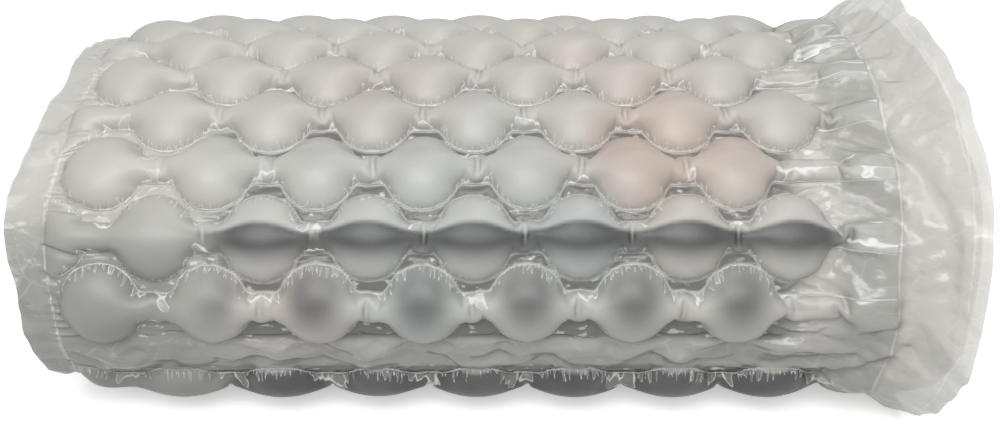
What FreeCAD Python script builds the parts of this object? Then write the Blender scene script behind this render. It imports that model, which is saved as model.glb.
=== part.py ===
"""Air pillow film roll: a web of air pillow film wound two turns round a carton.

The web runs round the roll.  Its air chambers lie across it, along X, and each
chamber is a chain of domed pillows joined by narrow necks.  Chains stand side by
side, half a pillow out of step, so that pillows sit beside their neighbours' necks.
A blown chain is stiff and the web bends only at the welds between chains, so each
chain stands on a flat of its own.  Air comes in at the right through a narrow inlet
for each chain.  The web's two edges have no air in them, and because only the middle
of the web shrinks when it is blown up, both edges stand out as pleated frills.

Millimetres.  X is the roll's axis, Y its depth, Z is up.  The origin lies on the
resting plane, under the middle of the roll.
"""
import FreeCAD, Part
import math
import os

# ---- Web and chambers --------------------------------------------------------
PILLOW_PITCH = 43.0          # neck to neck along a chain
PILLOWS_PER_CHAIN = 7
PILLOW_RISE = 11.0           # height of a pillow above the welded land
HALF_PILLOW_RISE = 7.5       # the short first pillow of every other chain
HALF_PILLOW_CREST = 0.7      # where it is highest, as a share of its length
PILLOW_TIERS = 5             # flat tiers of panels that make up a pillow's curve
LAND_STRIP = 2.4             # weld between two pillows at their closest
ROW_PLACES = 20              # places for chains round a turn
PERFORATION_PLACE = 18       # flat tear-off strip, no air in it
TAIL_PLACE = 12              # flat strip where the outer end of the web lies
WEB_THICKNESS = 1.2          # two plies of film, as a stiff wall
LEFT_EDGE_WIDTH = 12.0       # flat edge beyond the chains' closed ends
VALVE_WIDTH = 23.0           # one-way inlets, with flat film between them
RIGHT_EDGE_WIDTH = 31.0      # cut-open filling channel, beyond the inlets
INLET_WIDTH = 14.0           # each inlet is a flattened tube
INLET_RISE = 4.0             # above the land, and as much below it

# ---- Section of the roll (creases of the turns' welded land) --------------------
SIDE_AIR = 25.5              # from the carton's sides out to the inner turn's land
TOP_AIR = 18.5               # from its top
BOTTOM_AIR = 12.5            # from its bottom
TOP_CROWN = 16.0             # how far the top's middle stands above its round sides
BOTTOM_CROWN = 8.0
TURN_THICKNESS = 19.5        # land to land, from one turn to the next
SQUASH = 3.5                 # how far the lowest pillows are pressed flat
FIRST_ROW_RISE = 30.2        # place 0, measured round the land from the front

# ---- Wrapped carton ------------------------------------------------------------
CARTON_LENGTH = 254.0
CARTON_DEPTH = 140.0
CARTON_HEIGHT = 60.0
CARTON_SHIFT = 9.0           # carton's middle, towards +X
FOLD_RADIUS = 2.0            # the four long folds of the board
SLIT_WIDTH = 0.8             # gap between two closed flaps
SLIT_DEPTH = 1.5
CARTON_CLEARANCE = 0.3       # all round, between carton and film

# ---- Frills: pleats that stand out from the land --------------------------------
POINTS_PER_FLAT = 2          # fold points of a frill's rim on each flat
FLATS_PER_PLEAT = 2
FRILL_ROOT = 2.0             # how far inside the solid a frill starts
LEFT_FLARE = 4.0             # how far the left rim stands out
LEFT_PLEAT = 3.0             # half the depth of its pleats
RIGHT_FLARE = 12.0
RIGHT_PLEAT = 4.0
INNER_SHARE = 0.4            # inner turn's frills, as a share of the outer ones
FRILL_FLOOR = 0.5            # lowest that a frill hangs above the ground
WELD_WIDTH = 3.0             # raised weld where the right frill starts
WELD_RISE = 1.0

# ---- Worked out ----------------------------------------------------------------
ZONE_LENGTH = (PILLOWS_PER_CHAIN + 0.5) * PILLOW_PITCH
ROLL_LENGTH = LEFT_EDGE_WIDTH + ZONE_LENGTH + VALVE_WIDTH + RIGHT_EDGE_WIDTH
LEFT_END = -ROLL_LENGTH / 2
ZONE_START = LEFT_END + LEFT_EDGE_WIDTH
ZONE_END = ZONE_START + ZONE_LENGTH
CHANNEL_START = ZONE_END + VALVE_WIDTH
RIGHT_END = ROLL_LENGTH / 2
HALF_DEPTH = CARTON_DEPTH / 2 + SIDE_AIR + TURN_THICKNESS
TOP_HEIGHT = CARTON_HEIGHT / 2 + TOP_AIR + TURN_THICKNESS
BOTTOM_HEIGHT = CARTON_HEIGHT / 2 + BOTTOM_AIR + TURN_THICKNESS
TOP_CORNER = TOP_HEIGHT - TOP_CROWN
BOTTOM_CORNER = BOTTOM_HEIGHT - BOTTOM_CROWN
WIDEST_LEVEL = BOTTOM_HEIGHT + PILLOW_RISE - SQUASH
REACH = 2 * PILLOW_PITCH     # longer than any one pillow
ALONG = FreeCAD.Vector(1, 0, 0)
ACROSS = FreeCAD.Vector(0, 1, 0)


class Oval:
    """A closed outline of six tangent arcs, wound from the front over the top.

    Each arc is (centre y, centre z, radius, first angle, last angle).  An angle is
    that of the outward normal: 0 faces the front (-Y) and a quarter turn faces up.
    """

    def __init__(self, half_depth, top, bottom, top_corner, bottom_corner):
        turn_top, crown_radius = self._crown(half_depth, top, top_corner)
        turn_bottom, base_radius = self._crown(half_depth, bottom, bottom_corner)
        side_top = half_depth - top_corner
        side_bottom = half_depth - bottom_corner
        half = math.pi
        self.arcs = [
            (-side_top, 0.0, top_corner, 0.0, turn_top),
            (0.0, top - crown_radius, crown_radius, turn_top, half - turn_top),
            (side_top, 0.0, top_corner, half - turn_top, half),
            (side_bottom, 0.0, bottom_corner, half, half + turn_bottom),
            (0.0, base_radius - bottom, base_radius,
             half + turn_bottom, 2 * half - turn_bottom),
            (-side_bottom, 0.0, bottom_corner, 2 * half - turn_bottom, 2 * half),
        ]
        self.length = sum(radius * (last - first)
                          for y, z, radius, first, last in self.arcs)

    @staticmethod
    def _crown(half_depth, height, corner):
        """Where a side arc ends, and the radius of the crown tangent to it."""
        side = half_depth - corner
        radius = (side ** 2 + height ** 2 - corner ** 2) / (2 * (height - corner))
        return math.atan2(radius - height, side), radius

    def at(self, distance):
        """The point and the outward normal at a distance round the outline."""
        left = distance % self.length
        for y, z, radius, first, last in self.arcs:
            run = radius * (last - first)
            if left <= run:
                break
            left -= run
        angle = first + left / radius
        normal = FreeCAD.Vector(0, -math.cos(angle), math.sin(angle))
        return FreeCAD.Vector(0, y, z) + normal * radius, normal


class Turn:
    """One turn of the web: a flat for each place, and a crease at each weld."""

    def __init__(self, turns_in):
        inset = turns_in * TURN_THICKNESS
        self.oval = Oval(HALF_DEPTH - inset, TOP_HEIGHT - inset,
                         BOTTOM_HEIGHT - inset, TOP_CORNER - inset,
                         BOTTOM_CORNER - inset)
        self.row_pitch = self.oval.length / ROW_PLACES
        self.first_crease = FIRST_ROW_RISE * (1 - inset / HALF_DEPTH)

    def crease(self, place, offset=0.0):
        """The crease before a place, stood out from the land by offset."""
        point, normal = self.oval.at(self.first_crease + (place - 0.5) * self.row_pitch)
        return point + normal * offset

    def on_land(self, turn, offset):
        """A point turn places round the land, stood out from it by offset."""
        place = math.floor(turn)
        start = self.crease(place, offset)
        return start + (self.crease(place + 1, offset) - start) * (turn - place)

    def flat(self, place):
        """The middle and the outward normal of a place's flat."""
        start, end = self.crease(place), self.crease(place + 1)
        normal = ALONG.cross(end - start).normalize()
        return (start + end) / 2, normal

    def face(self, x, offset=0.0):
        """The area inside the turn, in the plane across the roll at x."""
        corners = [lifted(x, self.crease(place, offset))
                   for place in range(ROW_PLACES + 1)]
        return Part.Face(Part.makePolygon(corners))


def lifted(x, point):
    """A point of the section, put at x and at its height above the ground."""
    return FreeCAD.Vector(x, point.y, point.z + WIDEST_LEVEL)


def polygon_face(corners):
    """The flat face inside a ring of corners."""
    return Part.Face(Part.makePolygon([*corners, corners[0]]))


def closed_solid(faces):
    """The solid inside a full set of faces."""
    shell = Part.Shell(faces)
    shell.sewShape()
    return Part.Solid(shell)


def band(lower, upper):
    """Four-sided panels between two rings with the same number of corners."""
    for step in range(len(lower)):
        onward = (step + 1) % len(lower)
        yield polygon_face([lower[step], lower[onward], upper[onward], upper[step]])


def cell_ring(slant, half_width, height):
    """Corners of a six-sided cell, half_width from its middle to each side."""
    point = half_width / math.sin(slant)
    shoulder = half_width * math.tan(slant / 2)
    plan = [(point, 0.0), (shoulder, half_width), (-shoulder, half_width),
            (-point, 0.0), (-shoulder, -half_width), (shoulder, -half_width)]
    return [FreeCAD.Vector(x, y, height) for x, y in plan]


def pillow(row_pitch):
    """One pillow on the plane z = 0, from neck to neck along X, about the origin.

    Its six neighbours leave it a six-sided cell.  Every side of the dome follows the
    same arc, from the crest down to the weld and one tier further, to meet land that
    falls away beside it.
    """
    slant = math.atan2(PILLOW_PITCH / 2, row_pitch)
    to_side = math.hypot(PILLOW_PITCH / 4, row_pitch / 2)
    half_width = to_side - LAND_STRIP / 2
    radius = (half_width ** 2 + PILLOW_RISE ** 2) / (2 * PILLOW_RISE)
    step = math.asin(half_width / radius) / (PILLOW_TIERS + 0.5)
    rings = []
    for tier in range(PILLOW_TIERS + 1, -1, -1):
        angle = (tier + 0.5) * step
        height = PILLOW_RISE - radius * (1 - math.cos(angle))
        rings.append(cell_ring(slant, radius * math.sin(angle), height))
    faces = [polygon_face(rings[0]), polygon_face(rings[-1])]
    for lower, upper in zip(rings, rings[1:]):
        faces.extend(band(lower, upper))
    cell = Part.makeBox(PILLOW_PITCH, 2 * REACH, 2 * REACH,
                        FreeCAD.Vector(-PILLOW_PITCH / 2, -REACH, -REACH))
    return closed_solid(faces).common(cell)


def half_pillow(whole):
    """The right half of a pillow, drawn down to the film at its left, at x = 0."""
    length = PILLOW_PITCH / 2
    corners = [FreeCAD.Vector(0, -REACH, -REACH), FreeCAD.Vector(0, -REACH, 0),
               FreeCAD.Vector(HALF_PILLOW_CREST * length, -REACH, HALF_PILLOW_RISE),
               FreeCAD.Vector(length, -REACH, HALF_PILLOW_RISE),
               FreeCAD.Vector(length, -REACH, -REACH)]
    return whole.common(polygon_face(corners).extrude(ACROSS * 2 * REACH))


def seated(shape, x, middle, normal):
    """A copy of a shape made on the plane z = 0, moved onto a flat of the land."""
    copy = shape.copy()
    turn = FreeCAD.Rotation(ALONG, math.degrees(math.atan2(-normal.y, normal.z)))
    copy.Placement = FreeCAD.Placement(lifted(x, middle), turn)
    return copy


def inlet(x, middle, normal):
    """The flattened tube that fills a chain, from its last neck to the channel."""
    plan = [(0.5, 0), (0.25, 1), (-0.25, 1), (-0.5, 0), (-0.25, -1), (0.25, -1)]
    corners = [FreeCAD.Vector(0, INLET_WIDTH * across, INLET_RISE * up)
               for across, up in plan]
    tube = polygon_face(corners).extrude(ALONG * (CHANNEL_START - x))
    return seated(tube, x, middle, normal)


def chains(turn):
    """Pillows and inlets of the outer turn.  The two flat strips have none.

    The stagger runs on from the perforation round to the tail, so the chains
    between those two strips are out of step with the rest by one.
    """
    whole = pillow(turn.row_pitch)
    half = half_pillow(whole)
    for place in range(ROW_PLACES):
        if place in (PERFORATION_PLACE, TAIL_PLACE):
            continue
        flat = turn.flat(place)
        past_tail = TAIL_PLACE < place < PERFORATION_PLACE
        start = ZONE_START
        if (place % 2 == 0) != past_tail:
            yield seated(half, start, *flat)
            start += PILLOW_PITCH / 2
        for number in range(PILLOWS_PER_CHAIN):
            yield seated(whole, start + (number + 0.5) * PILLOW_PITCH, *flat)
        yield inlet(start + PILLOWS_PER_CHAIN * PILLOW_PITCH, *flat)


def ring(turn, start, width, rise, depth):
    """A wall that follows the land, from rise above it to depth below."""
    section = turn.face(start, rise).cut(turn.face(start, -depth))
    return section.extrude(ALONG * width)


def fold_points(turn, x, offset, pleat, floor, shift):
    """Fold points round a frill, stood out by offset and pleated, none below floor."""
    for step in range(ROW_PLACES * POINTS_PER_FLAT):
        places = (step + shift) / POINTS_PER_FLAT
        swing = math.cos(2 * math.pi * places / FLATS_PER_PLEAT)
        point = lifted(x, turn.on_land(places, offset + pleat * swing))
        yield FreeCAD.Vector(point.x, point.y, max(point.z, floor))


def pleated_band(root, rim):
    """Triangles between two rings of fold points, each rim point between two of root."""
    for step in range(len(root)):
        onward = (step + 1) % len(root)
        yield polygon_face([root[step], root[onward], rim[step]])
        yield polygon_face([root[onward], rim[onward], rim[step]])


def frill(turn, root, rim, flare, pleat):
    """A thin pleated wall from just under the land at root out to its rim."""
    faces = []
    rings = []
    for depth in (0.0, WEB_THICKNESS):
        floor = FRILL_FLOOR + depth
        start = list(fold_points(turn, root, -WEB_THICKNESS - depth, 0.0, floor, 0.0))
        end = list(fold_points(turn, rim, flare - depth, pleat, floor, 0.5))
        faces.extend(pleated_band(start, end))
        rings.append((start, end))
    (outer_start, outer_end), (inner_start, inner_end) = rings
    faces.extend(polygon_face(outer_start).cut(polygon_face(inner_start)).Faces)
    faces.extend(polygon_face(outer_end).cut(polygon_face(inner_end)).Faces)
    return closed_solid(faces)


def edges(outer, inner):
    """Flat valve zone, weld and frills: the web's two edges, for both turns."""
    yield ring(outer, ZONE_END, VALVE_WIDTH, 0.0, WEB_THICKNESS)
    yield ring(outer, CHANNEL_START, WELD_WIDTH, WELD_RISE, 3 * WEB_THICKNESS)
    yield frill(outer, ZONE_START + FRILL_ROOT, LEFT_END, LEFT_FLARE, LEFT_PLEAT)
    yield frill(outer, CHANNEL_START + FRILL_ROOT, RIGHT_END, RIGHT_FLARE, RIGHT_PLEAT)
    share = INNER_SHARE
    yield frill(inner, ZONE_START + FRILL_ROOT, LEFT_END,
                LEFT_FLARE * share, LEFT_PLEAT * share)
    yield frill(inner, ZONE_END - FRILL_ROOT, RIGHT_END,
                RIGHT_FLARE * share, RIGHT_PLEAT * share)


def carton_block(length, grow):
    """A block with the carton's section, its long folds rounded, grown all round."""
    low = lifted(CARTON_SHIFT - length / 2,
                 FreeCAD.Vector(0, -CARTON_DEPTH / 2 - grow, -CARTON_HEIGHT / 2 - grow))
    block = Part.makeBox(length, CARTON_DEPTH + 2 * grow,
                         CARTON_HEIGHT + 2 * grow, low)
    folds = [edge for edge in block.Edges if edge.Length > length * 0.999]
    return block.makeFillet(FOLD_RADIUS + grow, folds)


def carton():
    """The closed carton, with the slit on top where its flaps meet."""
    body = carton_block(CARTON_LENGTH, 0.0)
    corner = FreeCAD.Vector(0, -SLIT_WIDTH / 2, CARTON_HEIGHT / 2 - SLIT_DEPTH)
    slit = Part.makeBox(CARTON_LENGTH, SLIT_WIDTH, 2 * SLIT_DEPTH,
                        lifted(CARTON_SHIFT - CARTON_LENGTH / 2, corner))
    return body.cut(slit)


def film():
    """The web of film, both turns as one solid, with the carton's hollow open."""
    outer, inner = Turn(0), Turn(1)
    body = outer.face(ZONE_START).extrude(ALONG * ZONE_LENGTH)
    body = body.multiFuse(list(chains(outer)) + list(edges(outer, inner)))
    ground = Part.makeBox(2 * ROLL_LENGTH, 4 * HALF_DEPTH, PILLOW_RISE,
                          FreeCAD.Vector(-ROLL_LENGTH, -2 * HALF_DEPTH, -PILLOW_RISE))
    hollow = carton_block(2 * ROLL_LENGTH, CARTON_CLEARANCE)
    return body.cut([ground, hollow]).removeSplitter()


def main():
    os.makedirs("parts", exist_ok=True)
    film().exportStep("parts/air_pillow_film.step")
    carton().exportStep("parts/wrapped_carton.step")


main()
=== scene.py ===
"""Air pillow film roll: blown film, its frilled edges and the carton it wraps.

The film is worked out on a grid that follows the web: columns run along the roll's
axis and rows run round it.  A grid point is (x, s, h): its place along the axis, its
place round the smooth land of the turn, and its height off that land.  The grid is
first given the plain shape of blown chambers and is then relaxed as inextensible
film under air pressure, which puts in the puckers and creases.
"""
import logging
import math
from dataclasses import dataclass, field
from enum import Enum

import bpy
import numpy as np
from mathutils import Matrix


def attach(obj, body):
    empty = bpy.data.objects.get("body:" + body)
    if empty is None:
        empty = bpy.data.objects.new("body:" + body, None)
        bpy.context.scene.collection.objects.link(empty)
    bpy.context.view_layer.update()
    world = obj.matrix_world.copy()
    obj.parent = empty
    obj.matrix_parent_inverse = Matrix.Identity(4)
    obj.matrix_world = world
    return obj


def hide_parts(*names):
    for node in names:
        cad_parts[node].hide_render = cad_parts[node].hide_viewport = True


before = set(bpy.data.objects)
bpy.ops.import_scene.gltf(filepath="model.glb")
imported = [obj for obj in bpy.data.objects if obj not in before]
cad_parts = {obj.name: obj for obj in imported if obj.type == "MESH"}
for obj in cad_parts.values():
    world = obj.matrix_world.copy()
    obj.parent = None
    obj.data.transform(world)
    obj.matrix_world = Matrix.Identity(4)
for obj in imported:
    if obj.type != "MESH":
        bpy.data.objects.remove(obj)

LOG = logging.getLogger("air_pillow_roll")
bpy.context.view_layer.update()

Array = np.ndarray


class Row(Enum):
    """What one place round the turn holds."""

    EVEN = "starts with half a pillow"
    ODD = "starts with a whole pillow"
    STRIP = "flat film without air"


@dataclass(frozen=True)
class Land:
    """The closed outline that the welds of one turn lie on, made of six tangent arcs.

    It is wound from the front (-Y) over the top.  Lengths are metres and heights are
    measured from the widest level of the roll.
    """

    half_depth: float = 0.115
    top: float = 0.068
    bottom: float = 0.062
    top_corner: float = 0.052
    bottom_corner: float = 0.054
    widest_level: float = 0.0695

    def inset(self, depth: float) -> "Land":
        """The parallel outline that lies depth further in."""
        return Land(self.half_depth - depth, self.top - depth, self.bottom - depth,
                    self.top_corner - depth, self.bottom_corner - depth,
                    self.widest_level)

    def arcs(self) -> Array:
        """The outline's six arcs.

        Returns:
            Centre y, centre z, radius, first and last angle of each arc, one a row.
        """
        def crown(height: float, corner: float) -> tuple[float, float]:
            """Where a corner ends and the radius of the crown that touches it there."""
            side = self.half_depth - corner
            radius = (side ** 2 + height ** 2 - corner ** 2) / (2 * (height - corner))
            return math.atan2(radius - height, side), radius

        up, crown_top = crown(self.top, self.top_corner)
        down, crown_bottom = crown(self.bottom, self.bottom_corner)
        high = self.half_depth - self.top_corner
        low = self.half_depth - self.bottom_corner
        half = math.pi
        return np.array([
            (-high, 0, self.top_corner, 0, up),
            (0, self.top - crown_top, crown_top, up, half - up),
            (high, 0, self.top_corner, half - up, half),
            (low, 0, self.bottom_corner, half, half + down),
            (0, crown_bottom - self.bottom, crown_bottom, half + down, 2 * half - down),
            (-low, 0, self.bottom_corner, 2 * half - down, 2 * half)])

    @property
    def length(self) -> float:
        """The way once round the outline."""
        arcs = self.arcs()
        return float((arcs[:, 2] * (arcs[:, 4] - arcs[:, 3])).sum())

    def at(self, s: Array) -> tuple[Array, Array, Array, Array, Array]:
        """Points of the outline at distances s round it.

        Each arc turns by its length over its radius; the point is the arc's centre
        plus the radius times the outward normal (-cos angle, sin angle).

        Args:
            s: distances in metres, of any shape.

        Returns:
            y, z, the outward normal's y and z, and the curvature, each shaped as s.
        """
        arcs = self.arcs()
        runs = arcs[:, 2] * (arcs[:, 4] - arcs[:, 3])
        starts = np.concatenate([[0.0], np.cumsum(runs)])
        s = np.mod(s, starts[-1])
        index = np.clip(np.searchsorted(starts, s, side="right") - 1, 0, len(arcs) - 1)
        y, z, radius, first = (arcs[index, column] for column in range(4))
        angle = first + (s - starts[index]) / radius
        out_y, out_z = -np.cos(angle), np.sin(angle)
        return y + radius * out_y, z + radius * out_z, out_y, out_z, 1 / radius

    def lifted(self, x: Array, s: Array, h: Array) -> Array:
        """Points h off the outline, as an array with x, y, z in its last axis."""
        y, z, out_y, out_z, _ = self.at(s)
        return np.stack([x, y + h * out_y, z + h * out_z + self.widest_level], axis=-1)

    def floor_height(self, s: Array, clearance: float) -> Array:
        """How far off the outline the ground is; very far where none is below.

        Args:
            s: distances round the outline.
            clearance: height over the ground that stays free.

        Returns:
            Heights off the outline, shaped as s.
        """
        _, z, _, out_z, _ = self.at(s)
        level = z + self.widest_level - clearance
        return np.where(out_z < -0.05, level / np.maximum(-out_z, 0.05), 1.0)


@dataclass(frozen=True)
class Web:
    """Layout of the film: its zones along the axis and its places round the turn.

    The film's own lengths are a little longer than the blown ones, because a blown
    web shrinks in both directions: slack_x and slack_s are those ratios.  unevenness
    is how far pillows stray from their places, meeting is how softly a pillow's circle
    runs into its neck, and the three runs are the ways along the axis over which an
    inlet narrows, an inlet sinks and the first half pillow rises.
    """

    pitch: float = 0.043
    pillows: int = 7
    left_edge: float = 0.012
    valve: float = 0.023
    right_edge: float = 0.031
    skirt_length: float = 0.036
    flare: float = 0.024
    radius: float = 0.0177
    neck: float = 0.0078
    rise: float = 0.0122
    neck_rise: float = 0.0068
    most_rise: float = 0.020
    inlet: float = 0.0062
    inlet_rise: float = 0.0030
    slack_x: float = 46 / 43
    slack_s: float = 1.30
    first_row: float = 0.0302
    strips: tuple[int, ...] = (12, 18)
    unevenness: float = 0.00025
    meeting: float = 0.0011
    narrowing_run: float = 0.012
    sinking_run: float = 0.010
    rising_run: float = 0.011
    cells_per_pitch: int = 40
    cells_per_row: int = 32

    @property
    def left_end(self) -> float:
        """Where the flat left edge ends."""
        return -self.length / 2

    @property
    def length(self) -> float:
        """The whole web's width, along the roll's axis."""
        return self.left_edge + self.zone + self.valve + self.right_edge

    @property
    def zone(self) -> float:
        """Length of the part that has chambers."""
        return (self.pillows + 0.5) * self.pitch

    @property
    def start(self) -> float:
        """Where the chambers start."""
        return self.left_end + self.left_edge

    @property
    def end(self) -> float:
        """Where the chambers end and the inlets' valves start."""
        return self.start + self.zone

    @property
    def seal(self) -> float:
        """Where the filling channel starts."""
        return self.end + self.valve

    def row(self, place: int) -> Row:
        """The kind of row at a place; past the tail the stagger is the other way.

        Args:
            place: number of the place round the turn.

        Returns:
            What that place holds.
        """
        if place in self.strips:
            return Row.STRIP
        past_tail = bool(self.strips) and self.strips[0] < place < self.strips[-1]
        return Row.EVEN if (place % 2 == 0) != past_tail else Row.ODD

    @staticmethod
    def reach(share: Array) -> Array:
        """How far the skirt stands out: most at the front, least low on the back.

        Args:
            share: shares of the way round, from the front.

        Returns:
            Multiples of the skirt's even length, shaped as share.
        """
        marks = np.array([0.0, 0.05, 0.12, 0.20, 0.30, 0.42, 0.52, 0.62, 0.74, 0.84, 0.92,
                          0.97, 1.0])
        reaches = np.array([1.24, 1.22, 1.05, 0.80, 0.66, 0.80, 1.0, 0.75, 0.45, 0.30,
                            0.55, 1.02, 1.24])
        fine = np.linspace(0, 1, 721)
        even = np.interp(fine, marks, reaches)
        kernel = np.hanning(41)
        wide = np.convolve(np.concatenate([even[-121:-1], even, even[1:121]]),
                           kernel / kernel.sum(), "same")[120:-120]
        return np.interp(np.mod(share, 1.0), fine, wide)

    @staticmethod
    def left_reach(share: Array) -> Array:
        """How far the left edge stands out past its even place.

        Args:
            share: shares of the way round, from the front.

        Returns:
            Lengths in metres, shaped as share.
        """
        places = np.array([0, 0.5, 1.0, 1.25, 1.6, 2.0, 2.4, 3.0, 3.5, 4.0, 4.6, 5.2,
                           6.1, 6.9, 8.0, 9.2, 10.1, 11.0, 12.2, 13.0, 14.1, 15.2, 16.0,
                           17.0, 17.5, 18.0, 18.5, 19.0, 19.3, 19.6])
        reaches = np.array([11.8, 11.5, 13.0, 5.5, 5.0, 8.5, 5.0, 0.5, 1.5, 4.0, 7.5, 2.0,
                            4.5, -1.0, 3.0, -2.5, 2.0, -1.0, -3.0, 0.0, -2.5, 1.0, -1.0,
                            5.0, 0.5, 2.5, 5.5, 6.5, -0.5, 9.5]) / 1000
        fine = np.arange(1440) / 1440
        even = np.interp(fine, (places + 1) / 20, reaches, period=1.0)
        kernel = np.hanning(27)
        wide = np.convolve(np.concatenate([even[-120:], even, even[:120]]),
                           kernel / kernel.sum(), "same")[120:-120]
        return np.interp(share, fine, wide, period=1.0)

    def columns(self, coarse: int) -> tuple[Array, float]:
        """Places of the grid's columns, and the film between two of them.

        Args:
            coarse: 1 for the full grid, 2 for every second column.

        Returns:
            x of each column in metres and the film length of one cell.
        """
        film = self.pitch * self.slack_x / self.cells_per_pitch
        stations = np.array([self.left_end, self.start, self.end, self.seal,
                             self.length / 2])
        lengths = np.array([self.left_edge, self.zone * self.slack_x,
                            self.valve * 1.04, self.skirt_length])
        counts = np.rint(lengths / film).astype(int)
        counts[-1] += counts.sum() % 2
        marks = np.concatenate([[0], np.cumsum(counts)])
        x = np.interp(np.arange(marks[-1] + 1), marks, stations)
        return x[::coarse], film * coarse


@dataclass
class Chain:
    """One place's chain of pillows, as arrays that spread over the grid.

    dx and t are the places along and across the chain from the nearest pillow's
    centre, pillow is that pillow's number, wide the chain's half width, dome its height
    and pressure its air's share of full pressure.
    """

    dx: Array
    t: Array
    pillow: Array
    wide: Array
    dome: Array
    pressure: Array


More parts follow.
